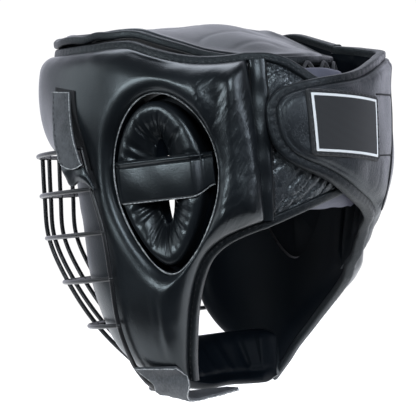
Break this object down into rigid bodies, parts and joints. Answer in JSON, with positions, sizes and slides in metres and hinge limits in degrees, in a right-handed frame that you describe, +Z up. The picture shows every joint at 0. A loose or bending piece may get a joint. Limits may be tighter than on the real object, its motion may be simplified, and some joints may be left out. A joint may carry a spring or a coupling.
{
  "type": "escrima helmet",
  "caption": "Padded black leather head guard with a curved wire face grille, slotted ear pads, a dome crown, a closing back flap and a chin band.",
  "frame": {"origin": "inside top of the crown pad, where it rests on the wearer's head", "axes": "-Y the way the face looks, +X the wearer's left, +Z up"},
  "size_m": [0.2332, 0.2587, 0.2679],
  "materials": {
    "leather": "semi-gloss",
    "strap_leather": "semi-gloss",
    "edge_binding": "satin",
    "grille": "satin",
    "lace": "matte",
    "label": "matte"
  },
  "bodies": {
    "root": {"padded_shell": "leather", "ear_pad_left": "leather", "ear_pad_right": "leather", "ear_strap_left": "strap_leather", "ear_strap_right": "strap_leather", "rear_panel_left": "leather", "back_flap": "leather", "label_patch": "label", "top_binding": "edge_binding", "neck_binding_left": "edge_binding", "neck_binding_right": "edge_binding", "flap_binding": "edge_binding", "crown_pad": "leather", "crown_binding": "edge_binding", "crown_lace": "lace", "chin_pad": "leather", "face_grille": "grille", "forehead_strap_left": "strap_leather", "forehead_strap_right": "strap_leather", "chin_tab_left": "strap_leather", "chin_tab_right": "strap_leather"}
  },
  "joints": []
}
